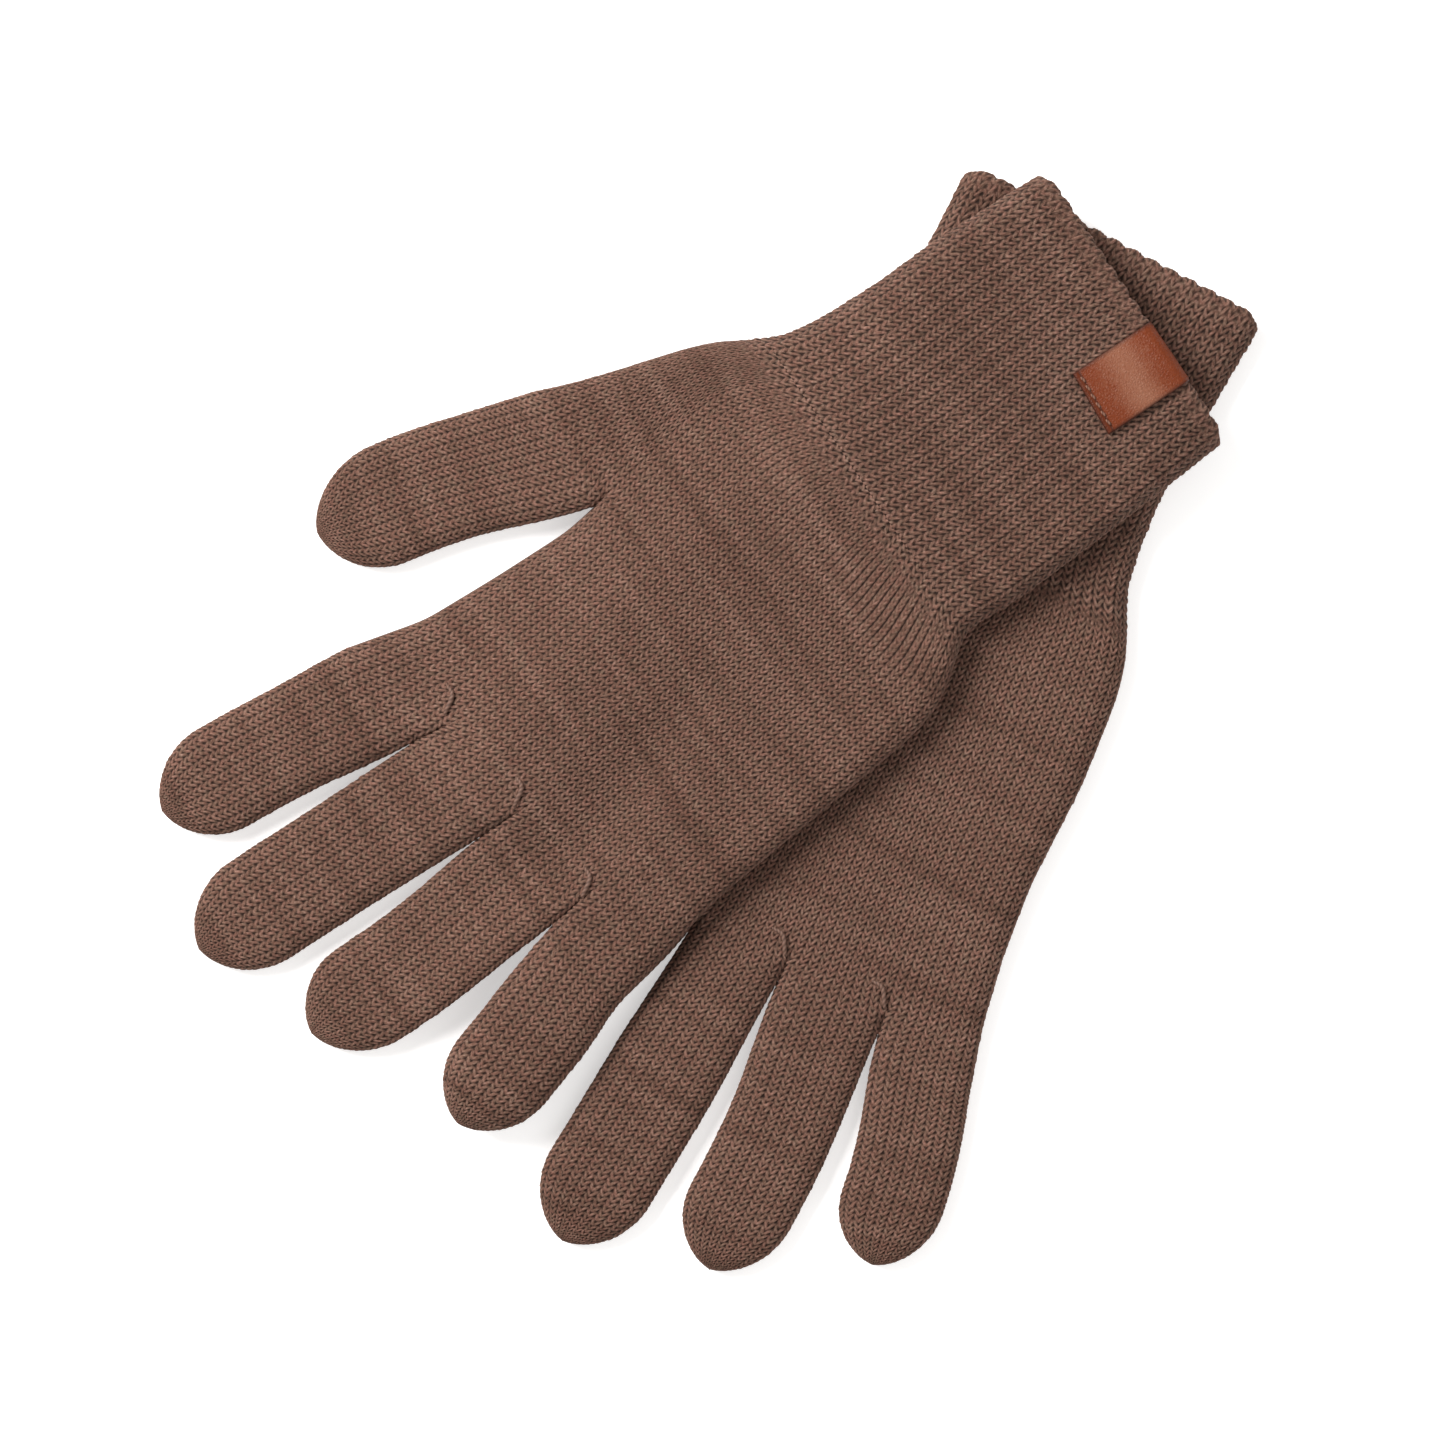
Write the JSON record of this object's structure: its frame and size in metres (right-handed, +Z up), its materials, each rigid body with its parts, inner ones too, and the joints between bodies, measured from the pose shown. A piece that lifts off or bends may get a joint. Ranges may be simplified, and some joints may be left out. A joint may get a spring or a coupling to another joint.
{
  "type": "knitted gloves",
  "caption": "Pair of knitted wool gloves with ribbed cuffs and a small folded leather label, laid flat one across the other.",
  "frame": {"origin": "middle of the pair's box, on the surface the pair lies on", "axes": "+Y along the left glove from cuff to fingertips, +X to the left glove's thumb side, +Z up"},
  "size_m": [0.2268, 0.2948, 0.0191],
  "materials": {
    "plain_knit": "plain stockinette knit of heathered brown wool",
    "rib_knit": "ribbed knit of heathered brown wool",
    "rib_edge": "cast-on edge of heathered brown wool",
    "join_yarn": "linking yarn",
    "label_leather": "smooth waxed tan leather",
    "label_thread": "waxed thread"
  },
  "bodies": {
    "right_glove": {"right_hand": "plain_knit", "right_rib_cuff": "rib_knit", "right_cuff_edge": "rib_edge", "right_finger_joins": "join_yarn", "right_thumb": "plain_knit", "right_index_finger": "plain_knit"},
    "left_palm": {"left_hand": "plain_knit", "left_finger_joins": "join_yarn"},
    "left_cuff": {"left_rib_cuff": "rib_knit", "left_cuff_edge": "rib_edge", "left_leather_label": "label_leather", "left_label_stitching": "label_thread"},
    "left_thumb": {"left_thumb": "plain_knit"},
    "left_index": {"left_index_finger": "plain_knit"},
    "left_middle": {"left_middle_finger": "plain_knit"},
    "left_ring": {"left_ring_finger": "plain_knit"},
    "left_little": {"left_little_finger": "plain_knit"},
    "right_middle": {"right_middle_finger": "plain_knit"},
    "right_ring": {"right_ring_finger": "plain_knit"},
    "right_little": {"right_little_finger": "plain_knit"}
  },
  "joints": [
    {"name": "left_glove_lift", "type": "slide", "parent": "right_glove", "child": "left_palm", "axis": [0, 0, 1], "range_m": [0, 0.08]},
    {"name": "left_cuff_fold", "type": "hinge", "parent": "left_palm", "child": "left_cuff", "pos_m": [0.04118, -0.04668, 0.0176], "axis": [-1, 0, 0], "range_deg": [0, 90]},
    {"name": "left_thumb_fold", "type": "hinge", "parent": "left_palm", "child": "left_thumb", "pos_m": [0.08883, 0.00797, 0.0114], "axis": [0.9953, -0.0973, 0], "range_deg": [0, 90]},
    {"name": "left_index_fold", "type": "hinge", "parent": "left_palm", "child": "left_index", "pos_m": [0.06473, 0.07677, 0.0131], "axis": [0.9987, 0.0508, 0], "range_deg": [0, 90]},
    {"name": "left_middle_fold", "type": "hinge", "parent": "left_palm", "child": "left_middle", "pos_m": [0.03698, 0.07532, 0.0153], "axis": [0.9989, 0.0477, 0], "range_deg": [0, 90]},
    {"name": "left_ring_fold", "type": "hinge", "parent": "left_palm", "child": "left_ring", "pos_m": [0.00968, 0.07387, 0.0151], "axis": [0.9986, 0.0526, 0], "range_deg": [0, 90]},
    {"name": "left_little_fold", "type": "hinge", "parent": "left_palm", "child": "left_little", "pos_m": [-0.01632, 0.07252, 0.0158], "axis": [0.9986, 0.0528, 0], "range_deg": [0, 90]},
    {"name": "right_middle_fold", "type": "hinge", "parent": "right_glove", "child": "right_middle", "pos_m": [-0.03486, 0.04139, 0.007], "axis": [0.8829, 0.4695, 0], "range_deg": [0, 90]},
    {"name": "right_ring_fold", "type": "hinge", "parent": "right_glove", "child": "right_ring", "pos_m": [-0.05689, 0.02968, 0.007], "axis": [0.8829, 0.4695, 0], "range_deg": [0, 90]},
    {"name": "right_little_fold", "type": "hinge", "parent": "right_glove", "child": "right_little", "pos_m": [-0.08007, 0.01735, 0.007], "axis": [0.8829, 0.4695, 0], "range_deg": [0, 90]}
  ]
}
